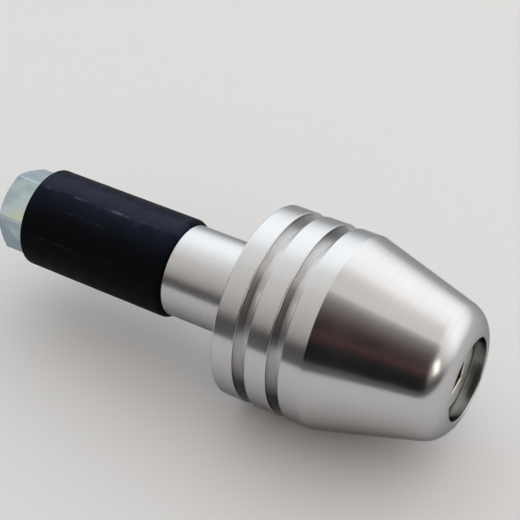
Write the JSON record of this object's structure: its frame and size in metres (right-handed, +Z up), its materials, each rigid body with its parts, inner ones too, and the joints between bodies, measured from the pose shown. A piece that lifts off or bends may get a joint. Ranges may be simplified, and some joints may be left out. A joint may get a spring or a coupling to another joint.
{
  "type": "handlebar end weight",
  "caption": "Turned metal end weight for a motorbike handlebar, with a grooved head, tapered nose and a rubber sleeve that a screw and nut expand inside the tube.",
  "frame": {"origin": "centre of the head's back face, the ring that seats on the end of the handlebar tube", "axes": "+X along the tube's axis, out of the tube to the nose; -X into the tube; +Z up with the bar level"},
  "size_m": [0.0851, 0.0322, 0.0322],
  "materials": {
    "turned_steel": "fine turned and polished",
    "rubber": "smooth moulded, lightly scuffed",
    "zinc_plate": "bright zinc plated",
    "screw_steel": "zinc plated"
  },
  "bodies": {
    "weight": {"weight": "turned_steel", "expander_sleeve": "rubber"},
    "screw": {"cap_screw": "screw_steel"},
    "nut": {"hex_nut": "zinc_plate"}
  },
  "joints": [
    {"name": "screw_turn", "type": "hinge", "parent": "weight", "child": "screw", "pos_m": [0.0258, 0, 0], "axis": [-1, 0, 0], "range_deg": [0, 900]},
    {"name": "nut_draw", "type": "slide", "parent": "weight", "child": "nut", "axis": [1, 0, 0], "range_m": [0, 0.00313], "deforming": ["expander_sleeve"]}
  ],
  "couplings": [
    {"joint": "nut_draw", "follows": "screw_turn", "m_per_rad": 0.00019894}
  ]
}
